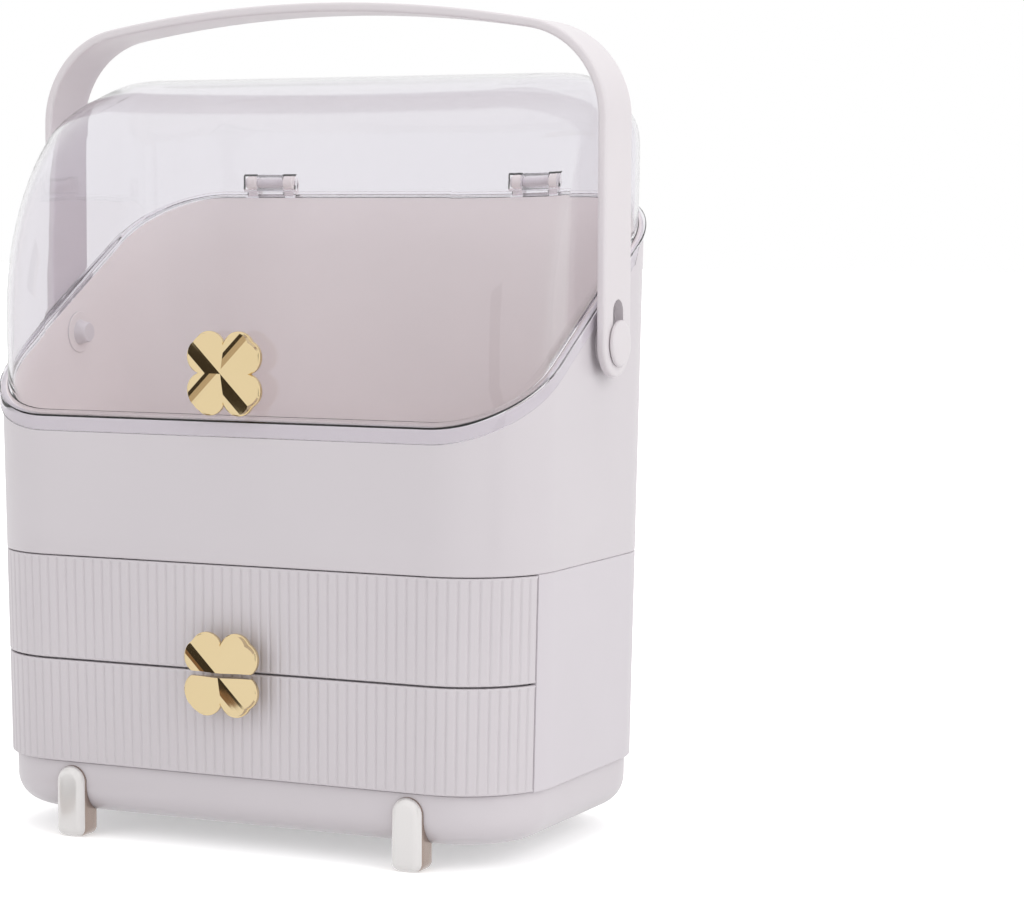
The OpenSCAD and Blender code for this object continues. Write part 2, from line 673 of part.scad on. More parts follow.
module handle_pin(s) {
    inner = half_w(pivot_z) - wall - 0.6;
    color([0.93, 0.91, 0.88]) place() mirror([s > 0 ? 0 : 1, 0, 0])
        translate([0, pivot_y, pivot_z]) difference() {
            union() {
                x_cylinder(pin_head_r, leg_out + 0.2, leg_out + 2.6);
                x_cylinder(pin_shank_r, inner - 5, leg_out + 1);
                translate([inner - 2.6, 0, 0]) rotate([0, 90, 0])
                    cylinder(r1 = pin_shank_r, r2 = pin_shank_r + 0.9, h = 2.4, $fn = 48);
            }
            translate([inner - 6, -0.7, -8]) cube([10, 1.4, 16]);
        }
}

base_plinth();
foot(-1, -1);  // foot_front_left
foot(1, -1);  // foot_front_right
foot(-1, 1);  // foot_back_left
foot(1, 1);  // foot_back_right
foot_screw(-1, -1);  // foot_screw_front_left
foot_screw(1, -1);  // foot_screw_front_right
foot_screw(-1, 1);  // foot_screw_back_left
foot_screw(1, 1);  // foot_screw_back_right
cabinet_shell();
cabinet_shelf();
upper_case();
case_screw(-1, -1);  // case_screw_front_left
case_screw(1, -1);  // case_screw_front_right
case_screw(-1, 1);  // case_screw_back_left
case_screw(1, 1);  // case_screw_back_right
lid();
lid_knob();
lid_knob_screw();
hinge_pin(-1);  // hinge_pin_left
hinge_pin(1);  // hinge_pin_right
drawer_tray(mid_z + plate_t / 2 + run_gap, upper_stem_z);  // upper_drawer_tray
drawer_front(mid_z + front_gap, seam_z - front_gap, upper_stem_z);  // upper_drawer_front
knob_half(1, upper_stem_z);  // upper_knob_half
knob_screw(upper_stem_z);  // upper_knob_screw
drawer_tray(base_top + plate_t + run_gap, lower_stem_z);  // lower_drawer_tray
drawer_front(base_top + front_gap, mid_z - front_gap, lower_stem_z);  // lower_drawer_front
knob_half(-1, lower_stem_z);  // lower_knob_half
knob_screw(lower_stem_z);  // lower_knob_screw
handle();
handle_pin(-1);  // handle_pin_left
handle_pin(1);  // handle_pin_right
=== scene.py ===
"""Dressed model of a dustproof makeup organizer.

A two-drawer vanity case with a clear domed lid, clover knobs, pill-shaped feet and a strap handle.
The lengths of the part are in millimetres, with the middle of the case at y = 0, and become metres
in the shared frame when a mesh is made. The stage and the lamps are in metres.
"""

import bpy
import bmesh
from math import acos, atan2, cos, pi, radians, sin, sqrt, tan
from mathutils import Matrix, Vector


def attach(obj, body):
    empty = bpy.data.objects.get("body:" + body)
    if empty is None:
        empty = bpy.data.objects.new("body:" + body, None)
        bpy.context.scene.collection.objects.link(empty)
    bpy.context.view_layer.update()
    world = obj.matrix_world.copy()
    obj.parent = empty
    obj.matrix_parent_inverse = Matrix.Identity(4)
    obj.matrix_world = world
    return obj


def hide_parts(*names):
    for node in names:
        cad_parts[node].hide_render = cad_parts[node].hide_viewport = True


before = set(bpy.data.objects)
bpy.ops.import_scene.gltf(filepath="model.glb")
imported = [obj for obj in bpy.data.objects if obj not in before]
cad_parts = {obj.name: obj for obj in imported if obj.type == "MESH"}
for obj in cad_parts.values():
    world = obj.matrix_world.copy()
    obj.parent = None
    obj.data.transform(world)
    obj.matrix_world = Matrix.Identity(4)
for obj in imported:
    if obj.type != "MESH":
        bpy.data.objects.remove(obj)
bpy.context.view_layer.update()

# Sizes that the part's source holds too.
BODY_W, BODY_D, CORNER_R, DRAFT, WALL = 265.0, 159.5, 40.0, radians(0.85), 2.6
RIM_FRONT_H, RIM_TAN = 60.0, tan(radians(31.4))
BASE_LIFT, BASE_H, BASE_INSET, BASE_ROUND = 10.4, 22.5, 2.3, 12.5
FOOT_W, FOOT_H, FOOT_PROUD, FOOT_X = 14.5, 31.5, 3.6, 82.5
FOOT_CORNER_R, FOOT_FACE_DROP = 4.0, 6.5
DRAWER_H, FRONT_T, FRONT_END, RIBS_FLAT, RIBS_ARC = 45.7, 3.0, 52.0, 40, 11
TRAY_WALL, TRAY_H, TRAY_R, TRAY_EASE, PLATE_T = 2.0, 37.5, 5.0, 2.1, 2.4
TUB_FLOOR, TUB_R = 3.0, 6.0
LID_T, LID_TOP_H, LID_INSET = 1.8, 211.0, 2.5
LID_FRONT_R, LID_SIDE_R, LID_BACK_R = 112.0, 28.0, 36.0
LIP_H, LIP_PROUD, SKIRT_GAP, FLANGE_BACK, FLANGE_T = 5.8, 1.4, 0.35, 1.3, 1.4
HINGE_Y, HINGE_H, HINGE_X = 81.0, 164.6, 70.0
KNUCKLE_R, KNUCKLE_L, EAR_T, EAR_H, PIN_ROOM = 4.0, 14.0, 5.0, 14.0, 1.6
HANDLE_IN, STRAP_T, STRAP_W = 136.8, 4.0, 29.0
HANDLE_TOP_H, CROWN_R, HANDLE_R = 241.5, 600.0, 43.0
PIVOT_H, PIVOT_Y, PIN_HEAD_R, PIN_R, BOSS_R = 94.0, 6.5, 10.0, 4.9, 9.0
SLOT_RISE, SLOT_ROOM = 18.8, 0.6
LEAF_R, LEAF_FAR, LEAF_NEAR, CLOVER_EDGE, CLOVER_H = 7.5, 10.4, 7.1, 2.0, 4.6
LID_STEM, DRAWER_STEM, KNOB_SPLIT, LID_KNOB_H = 5.0, 7.5, 2.0, 81.4
RUN_GAP, SEAT_GAP, FRONT_GAP = 0.3, 0.15, 0.4
PLATE_BACK = FRONT_T + 0.8
TRAY_OFF = -FRONT_T - RUN_GAP

BASE_TOP = BASE_LIFT + BASE_H
MID_Z = BASE_TOP + DRAWER_H
SEAM_Z = MID_Z + DRAWER_H
LID_TOP = SEAM_Z + LID_TOP_H
HINGE_Z = SEAM_Z + HINGE_H
PIVOT_Z = SEAM_Z + PIVOT_H
RIM_FRONT_Y = BODY_D / 2 + 2

# Largest angle in degrees that is shaded smooth.
SMOOTH, LID_SMOOTH, STRAP_SMOOTH, BROAD_SMOOTH = 40, 38, 30, 50
# Soft edges as (draw-in, distance from the edge).
SOFT_EDGE = ((0.0, 0.5), (0.15, 0.15), (0.5, 0.0))
SEAM_EDGE = ((1.6, 0.02), (0.5, 0.06), (0.12, 0.35), (0.0, 0.9))
RIM_EDGE = ((0.0, 1.0), (0.25, 0.35), (0.85, 0.0))
TRAY_FOOT = ((2.2, 0.0), (0.7, 0.5), (0.0, 2.2))


def half_w(z):
    return BODY_W / 2 + (z - SEAM_Z) * tan(DRAFT)


def half_d(z):
    return BODY_D / 2 + (z - SEAM_Z) * tan(DRAFT)


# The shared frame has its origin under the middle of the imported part, not of the case.
MID_Y = (half_d(MID_Z) + DRAWER_STEM + CLOVER_H - HINGE_Y - KNUCKLE_R) / 2


def rim_z(y):
    return SEAM_Z + RIM_FRONT_H + (y + RIM_FRONT_Y) * RIM_TAN


def to_frame(x, y, z):
    """A point of the part in millimetres as metres in the shared frame."""
    return x / 1000, (y + MID_Y) / 1000, z / 1000


# ---------------------------------------------------------------- mesh helpers

def make_object(name, verts, faces, body, smooth=SMOOTH):
    """A mesh from points in millimetres, shaded smooth up to an angle, riding on a body."""
    mesh = bpy.data.meshes.new(name)
    mesh.from_pydata([to_frame(*p) for p in verts], [], faces)
    return finish_object(name, mesh, body, smooth)


def finish_object(name, mesh, body, smooth):
    """Welds a mesh, turns its faces outwards and puts it on a body. smooth None keeps its edges."""
    bm = bmesh.new()
    bm.from_mesh(mesh)
    bmesh.ops.remove_doubles(bm, verts=bm.verts, dist=1e-6)
    bmesh.ops.recalc_face_normals(bm, faces=bm.faces)
    bm.to_mesh(mesh)
    bm.free()
    if smooth:
        shade(mesh, smooth)
    obj = bpy.data.objects.new(name, mesh)
    bpy.context.scene.collection.objects.link(obj)
    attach(obj, body)
    return obj


def shade(mesh, smooth):
    for poly in mesh.polygons:
        poly.use_smooth = True
    mesh.set_sharp_from_angle(angle=radians(smooth))
    mesh.update()


def loft_mesh(rings):
    """Quads between closed rings, with flat caps on the first and last."""
    n = len(rings[0])
    verts = [p for ring in rings for p in ring]
    faces = []
    for k in range(len(rings) - 1):
        for i in range(n):
            j = (i + 1) % n
            faces.append((k * n + i, k * n + j, k * n + n + j, k * n + n + i))
    faces.append(tuple(range(n - 1, -1, -1)))
    faces.append(tuple((len(rings) - 1) * n + i for i in range(n)))
    return verts, faces


def wall_mesh(section, line_of):
    """Wall along a line in plan: line_of gives the line of each point of its closed section."""
    lines = [line_of(*spot) for spot in section]
    return loft_mesh([[(*lines[k][i], section[k][1]) for k in range(len(section))]
                      for i in range(len(lines[0]))])


def join(parts):
    """Several (verts, faces) pairs as one."""
    verts, faces = [], []
    for v, f in parts:
        base = len(verts)
        verts += v
        faces += [tuple(i + base for i in face) for face in f]
    return verts, faces


def box_mesh(x0, x1, y0, y1, z0, z1):
    return loft_mesh([[(x0, y0, z), (x1, y0, z), (x1, y1, z), (x0, y1, z)] for z in (z0, z1)])


def lathe(profile, place, n=72):
    """Turned shape: profile is (distance along the axis, radius), place maps (axis, u, v)."""
    rings = []
    for a, r in profile:
        rings.append([place(a, r * cos(2 * pi * k / n), r * sin(2 * pi * k / n))
                      for k in range(n)])
    return loft_mesh(rings)


def barrel(a0, a1, r, core, edge=0.4):
    """Profile of a short cylinder with soft ends, closed down to a small core."""
    return [(a0, core), (a0, r - edge), (a0 + edge, r), (a1 - edge, r), (a1, r - edge), (a1, core)]


def along_x(y0, z0, side=1):
    """Place of a lathe axis that runs to the right, or to the left for side -1."""
    return lambda a, u, v: (side * a, y0 + side * u, z0 + v)


def along_y(z0):
    """Place of a lathe axis that runs forwards in the middle of the case."""
    return lambda a, u, v: (u, -a, z0 + v)


def boolean(obj, cutter, operation):
    """Cuts or joins with another object and removes it."""
    mod = obj.modifiers.new("cut", "BOOLEAN")
    mod.operation = operation
    mod.solver = "EXACT"
    mod.object = cutter
    bpy.context.view_layer.update()
    deps = bpy.context.evaluated_depsgraph_get()
    mesh = bpy.data.meshes.new_from_object(obj.evaluated_get(deps))
    obj.modifiers.clear()
    obj.data = mesh
    bpy.data.objects.remove(cutter)


def bisect(bm, point, normal, **more):
    """Cuts every face of a bmesh along a plane."""
    bmesh.ops.bisect_plane(bm, geom=bm.verts[:] + bm.edges[:] + bm.faces[:], dist=1e-5,
                           plane_co=point, plane_no=normal, **more)


def dress(obj, material, slot, *nodes):
    obj.data.materials.clear()
    obj.data.materials.append(material)
    if nodes:
        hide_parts(*nodes)
    return obj


# ---------------------------------------------------------------- case surface

# A ring has four corner arcs and one more point on each side, where the lid's skirt starts.
STEPS = 20
HALF = 2 * (STEPS + 1)
RING_N = 2 * HALF + 2
SKIRT_START = 0.9
WALL_STEPS = 6


def corner_pt(i, a, b, cy, r):
    """Point i of the four corner arcs of a rounded rectangle with the half sizes a and b."""
    q, k = divmod(i, STEPS + 1)
    t = radians(90 * (q + k / STEPS))
    sx = 1 if q in (0, 3) else -1
    sy = 1 if q < 2 else -1
    return sx * (a - r) + r * cos(t), cy + sy * (b - r) + r * sin(t)


def ring_pt(i, a, b, cy, r):
    if i == HALF:
        return -a, cy + SKIRT_START * (b - r)
    if i == RING_N - 1:
        return a, cy + SKIRT_START * (b - r)
    return corner_pt(i if i < HALF else i - 1, a, b, cy, r)


def case_pt(i, off, z):
    """Point i of the outline of the case at a height, off outside its surface."""
    return ring_pt(i, half_w(z) + off, half_d(z) + off, 0, CORNER_R + off)


def flat_ring(off, z):
    return [(*case_pt(i, off, z), z) for i in range(RING_N)]


def rim_pt(i, off, dz):
    """Point i of the outline on the slanted rim plane, raised by dz."""
    z1 = rim_z(case_pt(i, off, PIVOT_Z)[1]) + dz
    x, y = case_pt(i, off, z1)
    return x, y, rim_z(y) + dz


def rim_ring(off, dz):
    return [rim_pt(i, off, dz) for i in range(RING_N)]


def between(low, high, t):
    return [tuple(a + (b - a) * t for a, b in zip(p, q)) for p, q in zip(low, high)]


def rows_between(low, high):
    return [between(low, high, t / WALL_STEPS) for t in range(1, WALL_STEPS)]


def sunk(z, top, r):
    """How far a face has drawn in at a height, where it rounds over to the top with radius r."""
    h = min(r, max(0.0, z - (top - r)))
    return r - sqrt(max(0.0, r * r - h * h))


def dome_pt(i, off, z, top, less):
    a = half_w(z) + off - sunk(z, top, LID_SIDE_R - less)
    yf = -half_d(z) - off + sunk(z, top, LID_FRONT_R - less)
    yb = half_d(z) + off - sunk(z, top, LID_BACK_R - less)
    b = (yb - yf) / 2
    return ring_pt(i, a, b, (yf + yb) / 2, min(CORNER_R + off, 0.97 * b))


def dome_ring(v, off, top, less, dz):
    """Ring of the dome, from the rim at v = 0 to the flat top at v = 1."""
    ring = []
    for i in range(RING_N):
        z0 = rim_pt(i, off, dz)[2]
        z = z0 + (top - z0) * sin(radians(90 * v))
        ring.append((*dome_pt(i, off, z, top, less), z))
    return ring


# ---------------------------------------------------------------- materials

DRIFT_SCALE, GLOSS_SCALE, PEEL_SCALE, PEEL_DEPTH = 9.0, 60.0, 900.0, 0.0002
PLASTIC_IOR, LID_IOR, COAT_ROUGH = 1.5, 1.49, 0.08
LID_TINTS = (0.88, 0.868, 0.896), (0.892, 0.88, 0.906)
LID_CLEAR = (0.995, 0.99, 1)


def blank_tree(owner, out_kind):
    """The emptied node tree of a material or world, with its output node."""
    owner.use_nodes = True
    nodes = owner.node_tree.nodes
    nodes.clear()
    return nodes, owner.node_tree.links, nodes.new(out_kind)


def principled(name):
    mat = bpy.data.materials.new(name)
    nodes, links, out = blank_tree(mat, "ShaderNodeOutputMaterial")
    bsdf = nodes.new("ShaderNodeBsdfPrincipled")
    links.new(bsdf.outputs[0], out.inputs[0])
    return mat, nodes, links, bsdf, out


def noise(nodes, links, coords, scale, detail=2.0, rough=0.5):
    node = nodes.new("ShaderNodeTexNoise")
    node.inputs["Scale"].default_value = scale
    node.inputs["Detail"].default_value = detail
    node.inputs["Roughness"].default_value = rough
    links.new(coords.outputs["Object"], node.inputs["Vector"])
    return node


def ramp(nodes, links, source, low, high, c0, c1):
    node = nodes.new("ShaderNodeValToRGB")
    node.color_ramp.elements[0].position = low
    node.color_ramp.elements[1].position = high
    node.color_ramp.elements[0].color = (*c0, 1)
    node.color_ramp.elements[1].color = (*c1, 1)
    links.new(source, node.inputs[0])
    return node


def span(nodes, links, source, low, high):
    node = nodes.new("ShaderNodeMapRange")
    node.inputs["To Min"].default_value = low
    node.inputs["To Max"].default_value = high
    links.new(source, node.inputs["Value"])
    return node


def combine(nodes, links, operation, first, second):
    """Output of a math node that takes two sockets."""
    node = nodes.new("ShaderNodeMath")
    node.operation = operation
    links.new(first, node.inputs[0])
    links.new(second, node.inputs[1])
    return node.outputs[0]


def mix_shaders(nodes, links, share, first, second, out):
    """Mixes two shaders into the output: first where share is 0, second where it is 1."""
    mix = nodes.new("ShaderNodeMixShader")
    links.new(share, mix.inputs[0])
    links.new(first, mix.inputs[1])
    links.new(second, mix.inputs[2])
    links.new(mix.outputs[0], out.inputs[0])


def linear(r, g, b):
    """sRGB 0-255 to linear."""
    return tuple((c / 255 / 12.92) if c / 255 <= 0.04045 else ((c / 255 + 0.055) / 1.055) ** 2.4
                 for c in (r, g, b))


def moulded(name, color, shade_color, rough, peel=0.05, metallic=0.0, coat=0.0):
    """Moulded skin from two sRGB tones: slow tone drift, fine orange peel and uneven gloss."""
    mat, nodes, links, bsdf, _ = principled(name)
    coords = nodes.new("ShaderNodeTexCoord")
    slow = noise(nodes, links, coords, DRIFT_SCALE, 3.0)
    tone = ramp(nodes, links, slow.outputs["Fac"], 0.3, 0.7, linear(*shade_color), linear(*color))
    links.new(tone.outputs[0], bsdf.inputs["Base Color"])
    gloss = noise(nodes, links, coords, GLOSS_SCALE, 4.0, 0.6)
    level = span(nodes, links, gloss.outputs["Fac"], rough - 0.05, rough + 0.06)
    links.new(level.outputs[0], bsdf.inputs["Roughness"])
    skin = noise(nodes, links, coords, PEEL_SCALE)
    bump = nodes.new("ShaderNodeBump")
    bump.inputs["Strength"].default_value = peel
    bump.inputs["Distance"].default_value = PEEL_DEPTH
    links.new(skin.outputs["Fac"], bump.inputs["Height"])
    links.new(bump.outputs[0], bsdf.inputs["Normal"])
    bsdf.inputs["Metallic"].default_value = metallic
    bsdf.inputs["Coat Weight"].default_value = coat
    bsdf.inputs["Coat Roughness"].default_value = COAT_ROUGH
    bsdf.inputs["IOR"].default_value = PLASTIC_IOR
    return mat


def clear_plastic():
    """Clear lid: a polished solid wall with a faint cool tint that lets the lamps through."""
    mat, nodes, links, bsdf, out = principled("lid_clear")
    coords = nodes.new("ShaderNodeTexCoord")
    slow = noise(nodes, links, coords, 14.0)
    tone = ramp(nodes, links, slow.outputs["Fac"], 0.2, 0.8, *LID_TINTS)
    links.new(tone.outputs[0], bsdf.inputs["Base Color"])
    haze = noise(nodes, links, coords, 40.0, 3.0)
    level = span(nodes, links, haze.outputs["Fac"], 0.0, 0.03)
    links.new(level.outputs[0], bsdf.inputs["Roughness"])
    bsdf.inputs["Transmission Weight"].default_value = 1.0
    bsdf.inputs["IOR"].default_value = LID_IOR
    clear = nodes.new("ShaderNodeBsdfTransparent")
    clear.inputs[0].default_value = (*LID_CLEAR, 1)
    path = nodes.new("ShaderNodeLightPath")
    free = combine(nodes, links, "MAXIMUM", path.outputs["Is Shadow Ray"],
                   path.outputs["Is Diffuse Ray"])
    mix_shaders(nodes, links, free, bsdf.outputs[0], clear.outputs[0], out)
    return mat


CASE = moulded("case_plastic", (205, 199, 203), (202, 196, 200), 0.3)
# Paler, warmer copy of the case plastic for the inside of the tub: painted light.
CASE_INNER_PAINTED_LIGHT = moulded("case_inner_painted_light", (230, 222, 221), (226, 218, 217), 0.36)
CABINET = moulded("cabinet_plastic", (205, 199, 204), (202, 196, 201), 0.34)
FRONT = moulded("drawer_front_plastic", (204, 198, 202), (201, 195, 199), 0.32)
HANDLE = moulded("handle_plastic", (213, 207, 210), (210, 204, 207), 0.3)
FOOT = moulded("foot_pearl", (228, 225, 224), (223, 220, 219), 0.2, 0.02, 0.25, 0.5)
# Darker brown copy of the pearl finish for the sides of the feet: painted shade and painted
# reflection.
FOOT_SIDE_PAINTED_SHADE = moulded("foot_side_painted_shade", (170, 152, 142), (156, 138, 128), 0.22, 0.02, 0.7, 0.4)
GOLD = moulded("knob_gold", (230, 209, 167), (226, 204, 160), 0.07, 0.01, 1.0)
STEEL = moulded("screw_steel", (196, 197, 200), (184, 185, 188), 0.3, 0.05, 1.0)
CLEAR = clear_plastic()


# ---------------------------------------------------------------- base and feet

# Section of a foot from its slightly crowned face to its back: (depth, draw-in of the outline).
FOOT_EDGE = ((0.0, 3.7), (0.04, 3.3), (0.2, 2.6), (0.5, 1.9), (0.95, 1.25), (1.6, 0.7), (2.5, 0.3),
             (3.6, 0.06), (5.0, 0.0), (8.0, 0.0), (11.2, 0.0), (11.8, 0.2), (12.0, 0.7))
# A face of a foot that turns at least this far forwards (or backwards) takes the pearl face colour;
# the other faces take a darker brown copy of it, painted shade and painted reflection on the sides.
PEARL_TURN = 0.3


def base_rings(grow, steps=10):
    """The rounded bottom of the base, grown outwards, up to where its wall stands straight."""
    rings = []
    for k in range(steps + 1):
        t = radians(90 * k / steps)
        rings.append(flat_ring(grow - BASE_INSET - BASE_ROUND * (1 - sin(t)),
                               BASE_LIFT - grow + BASE_ROUND * (1 - cos(t))))
    return rings


def build_base():
    outer = base_rings(0) + [flat_ring(-BASE_INSET - inset, BASE_TOP - drop)
                             for inset, drop in SOFT_EDGE]
    inner = [flat_ring(-BASE_INSET - WALL, BASE_TOP)]
    for k in range(10, -1, -2):
        t = radians(9 * k)
        inner.append(flat_ring(-BASE_INSET - WALL - (BASE_ROUND - WALL) * (1 - sin(t)),
                               BASE_LIFT + WALL + (BASE_ROUND - WALL) * (1 - cos(t))))
    base = make_object("base", *loft_mesh(outer + inner), "case")
    dress(base, CASE, "case_plastic", "base_plinth")


def pill(inset, n=16):
    """Outline of a foot, drawn in: round top and rounded bottom corners."""
    r, e = FOOT_W / 2, FOOT_CORNER_R
    pts = []
    for k in range(2 * n + 1):
        t = pi * k / (2 * n)
        pts.append(((r - inset) * cos(t), FOOT_H - r + (r - inset) * sin(t)))
    for cx, t0 in ((-r + e, pi), (r - e, 1.5 * pi)):
        for k in range(n // 2 + 1):
            t = t0 + (pi / 2) * k / (n // 2)
            pts.append((cx + (e - inset) * cos(t), e + (e - inset) * sin(t)))
    return pts


def build_foot(name, sx, sy, node):
    """A foot at one corner, cut out where it seats on the base."""
    face = half_d(BASE_TOP - FOOT_FACE_DROP) - BASE_INSET + FOOT_PROUD
    rings = [[(sx * FOOT_X + x, sy * (face - depth), z) for x, z in pill(inset)]
             for depth, inset in FOOT_EDGE]
    foot = make_object(name, *loft_mesh(rings), "case")
    above_foot = flat_ring(SEAT_GAP - BASE_INSET, BASE_TOP + 8)
    envelope = make_object("envelope", *loft_mesh(base_rings(SEAT_GAP) + [above_foot]), "case")
    boolean(foot, envelope, "DIFFERENCE")
    foot.data.materials.clear()
    foot.data.materials.append(FOOT)
    foot.data.materials.append(FOOT_SIDE_PAINTED_SHADE)
    # Faces that turn away from the front and back take the painted shade and reflection of the
    # sides.
    for poly in foot.data.polygons:
        poly.material_index = 0 if poly.normal.y * sy > PEARL_TURN else 1
    shade(foot.data, BROAD_SMOOTH)
    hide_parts(node)


def build_feet():
    for name, sx, sy in (("front_left", -1, -1), ("front_right", 1, -1),
                         ("back_left", -1, 1), ("back_right", 1, 1)):
        build_foot("pearl_foot_" + name, sx, sy, "foot_" + name)


# ---------------------------------------------------------------- cabinet

SHELL_BEVEL = 0.35
# The plates lie a little inside the shell's edges and walls.
PLATE_SUNK, PLATE_IN = 0.02, 0.8
RAIL_FRONT, RAIL_BACK, RAIL_W, RAIL_ROOT = 45, 35, 2, 1


def shell_line(off, z, n=20):
    """U-shaped line round the sides and back, open where the drawer fronts wrap round."""
    r, w, d = CORNER_R + off, half_w(z) - CORNER_R, half_d(z) - CORNER_R
    end = acos((FRONT_END - FRONT_GAP - d) / r)
    pts = []
    for k in range(n + 1):
        t = end + (pi / 2 - end) * k / n
        pts.append((w + r * sin(t), -d - r * cos(t)))
    for k in range(n + 1):
        t = pi / 2 * k / n
        pts.append((w + r * cos(t), d + r * sin(t)))
    for k in range(n + 1):
        t = pi / 2 + pi / 2 * k / n
        pts.append((-w + r * cos(t), d + r * sin(t)))
    for k in range(n + 1):
        t = end + (pi / 2 - end) * (1 - k / n)
        pts.append((-w - r * sin(t), -d - r * cos(t)))
    return pts


def shell_section(z0, z1):
    """Closed section of the shell's wall as (offset, height) points."""
    return [(-SHELL_BEVEL, z0), (0, z0 + SHELL_BEVEL), (0, z0 + (z1 - z0) / 2),
            (0, z1 - SHELL_BEVEL), (-SHELL_BEVEL, z1), (-WALL, z1), (-WALL, z0)]


def plate_mesh(z0, z1, inset):
    """Plate inside the shell, which ends behind the drawer fronts."""
    rings = []
    for z in (z0, z1):
        ring = []
        for i in range(RING_N):
            in_front = case_pt(i, -PLATE_BACK, z)[1] < -FRONT_END + 2
            ring.append((*case_pt(i, -PLATE_BACK if in_front else -inset, z), z))
        rings.append(ring)
    return loft_mesh(rings)


def build_cabinet():
    parts = [wall_mesh(shell_section(BASE_TOP, SEAM_Z), shell_line),
             plate_mesh(BASE_TOP + PLATE_SUNK, BASE_TOP + PLATE_T, PLATE_IN),
             plate_mesh(SEAM_Z - PLATE_T, SEAM_Z - PLATE_SUNK, PLATE_IN)]
    wall_x = half_w(MID_Z) - WALL
    for s in (-1, 1):
        parts.append(box_mesh(*sorted((s * (wall_x - RAIL_W), s * (wall_x + RAIL_ROOT))),
                              -RAIL_FRONT, RAIL_BACK, MID_Z - 1.5 * PLATE_T, MID_Z - PLATE_T / 2))
    cabinet = make_object("cabinet", *join(parts), "case")
    dress(cabinet, CABINET, "cabinet_plastic", "cabinet_shell")
    shelf = make_object("shelf", *plate_mesh(MID_Z - PLATE_T / 2, MID_Z + PLATE_T / 2,
                                             WALL + SEAT_GAP), "case")
    dress(shelf, CABINET, "cabinet_plastic", "cabinet_shelf")


# ---------------------------------------------------------------- upper case

EAR_FRONT, EAR_TAPER_H, EAR_TAPER = 1.2, 9.0, 3.0
# The faces up to this height over the seam that look up are the floor of the tub.
TUB_FLOOR_TOP = 12


def ear_left(s, t):
    """x where an ear starts: s picks the hinge, t the ear on one side of its knuckle."""
    return s * HINGE_X + t * (KNUCKLE_L / 2 + RUN_GAP + EAR_T / 2) - EAR_T / 2


def boss_mesh(s):
    """Seat of a handle pin: a raised boss outside and a small collar inside."""
    place = along_x(PIVOT_Y, PIVOT_Z, s)
    inside, end = half_w(PIVOT_Z) - WALL, HANDLE_IN - RUN_GAP
    boss = [(inside + 0.5, PIN_R + 0.1), (inside + 0.5, BOSS_R), (HANDLE_IN - 1.0, BOSS_R),
            (HANDLE_IN - 0.45, BOSS_R - 0.5), (end, BOSS_R - 0.8), (end, PIN_R + 0.1)]
    collar = [(inside + 0.3, 9.6), (inside - 0.5, 9.6), (inside - 0.8, 9.3),
              (inside - 0.8, PIN_R + 0.3)]
    return join([lathe(boss, place), lathe(collar, place)])


def ear_mesh(x0):
    """Ear of a hinge: a round eye on a web that tapers into the back wall."""
    x1, y0, y1 = x0 + EAR_T, HINGE_Y - EAR_FRONT, HINGE_Y + KNUCKLE_R
    web = loft_mesh([[(x0, y0, z), (x1, y0, z), (x1, back, z), (x0, back, z)]
                     for z, back in ((HINGE_Z - EAR_H, y1 - EAR_TAPER), (HINGE_Z - EAR_TAPER_H, y1),
                                     (HINGE_Z, y1))])
    return join([lathe(barrel(x0, x1, KNUCKLE_R, 0.2), along_x(HINGE_Y, HINGE_Z)), web])


def build_upper_case():
    rings = [flat_ring(-inset, SEAM_Z + rise) for inset, rise in SEAM_EDGE]
    outer_rim = [rim_ring(-inset, -RUN_GAP - drop) for inset, drop in RIM_EDGE]
    inner_rim = [rim_ring(inset - WALL, -RUN_GAP - drop) for inset, drop in reversed(RIM_EDGE)]
    inner_low = flat_ring(-WALL, SEAM_Z + TUB_FLOOR + TUB_R)
    rings += rows_between(rings[-1], outer_rim[0]) + outer_rim + inner_rim
    rings += rows_between(inner_rim[-1], inner_low) + [inner_low]
    for k in range(1, 7):
        t = radians(15 * k)
        rings.append(flat_ring(-WALL - TUB_R * (1 - cos(t)),
                               SEAM_Z + TUB_FLOOR + TUB_R * (1 - sin(t))))
    parts = [loft_mesh(rings)]
    for s in (-1, 1):
        parts += [boss_mesh(s), ear_mesh(ear_left(s, -1)), ear_mesh(ear_left(s, 1))]
    shell = make_object("upper_case_shell", *join(parts), "case")
    dress(shell, CASE, "case_plastic", "upper_case")
    # The inside of the tub takes a paler, warmer copy of the case plastic: painted light that makes
    # up for the light the clear lid holds back from the inside.
    shell.data.materials.append(CASE_INNER_PAINTED_LIGHT)
    for poly in shell.data.polygons:
        x, y, h = poly.center
        inward = poly.normal.x * x + poly.normal.y * (y - MID_Y / 1000) < -0.01
        if inward or (poly.normal.z > 0.5 and h < (SEAM_Z + TUB_FLOOR_TOP) / 1000):
            poly.material_index = 1


# ---------------------------------------------------------------- lid

LID_ROWS = 26
EAR_ROOM = 0.4
# Section of the skirt, from the inside of the rim down and up again outside:
# (share of the skirt's height, offset on the front and sides, draw-in along the back).
SKIRT_EDGE = ((0.0, SKIRT_GAP, 0.9), (0.93, SKIRT_GAP, 0.7), (1.0, SKIRT_GAP + 0.3, 0.5),
              (1.0, LIP_PROUD - 0.35, 0.25), (0.93, LIP_PROUD, 0.0))


def back_ease(i):
    """0 on the front and sides, rising to 1 round the back corners and along the back."""
    if i >= HALF:
        return 0.0
    q, k = divmod(i, STEPS + 1)
    t = k / STEPS if q == 0 else 1 - k / STEPS
    return sin(pi / 2 * t) ** 2


def flange_off(i, full):
    return full + (-FLANGE_BACK - full) * back_ease(i)


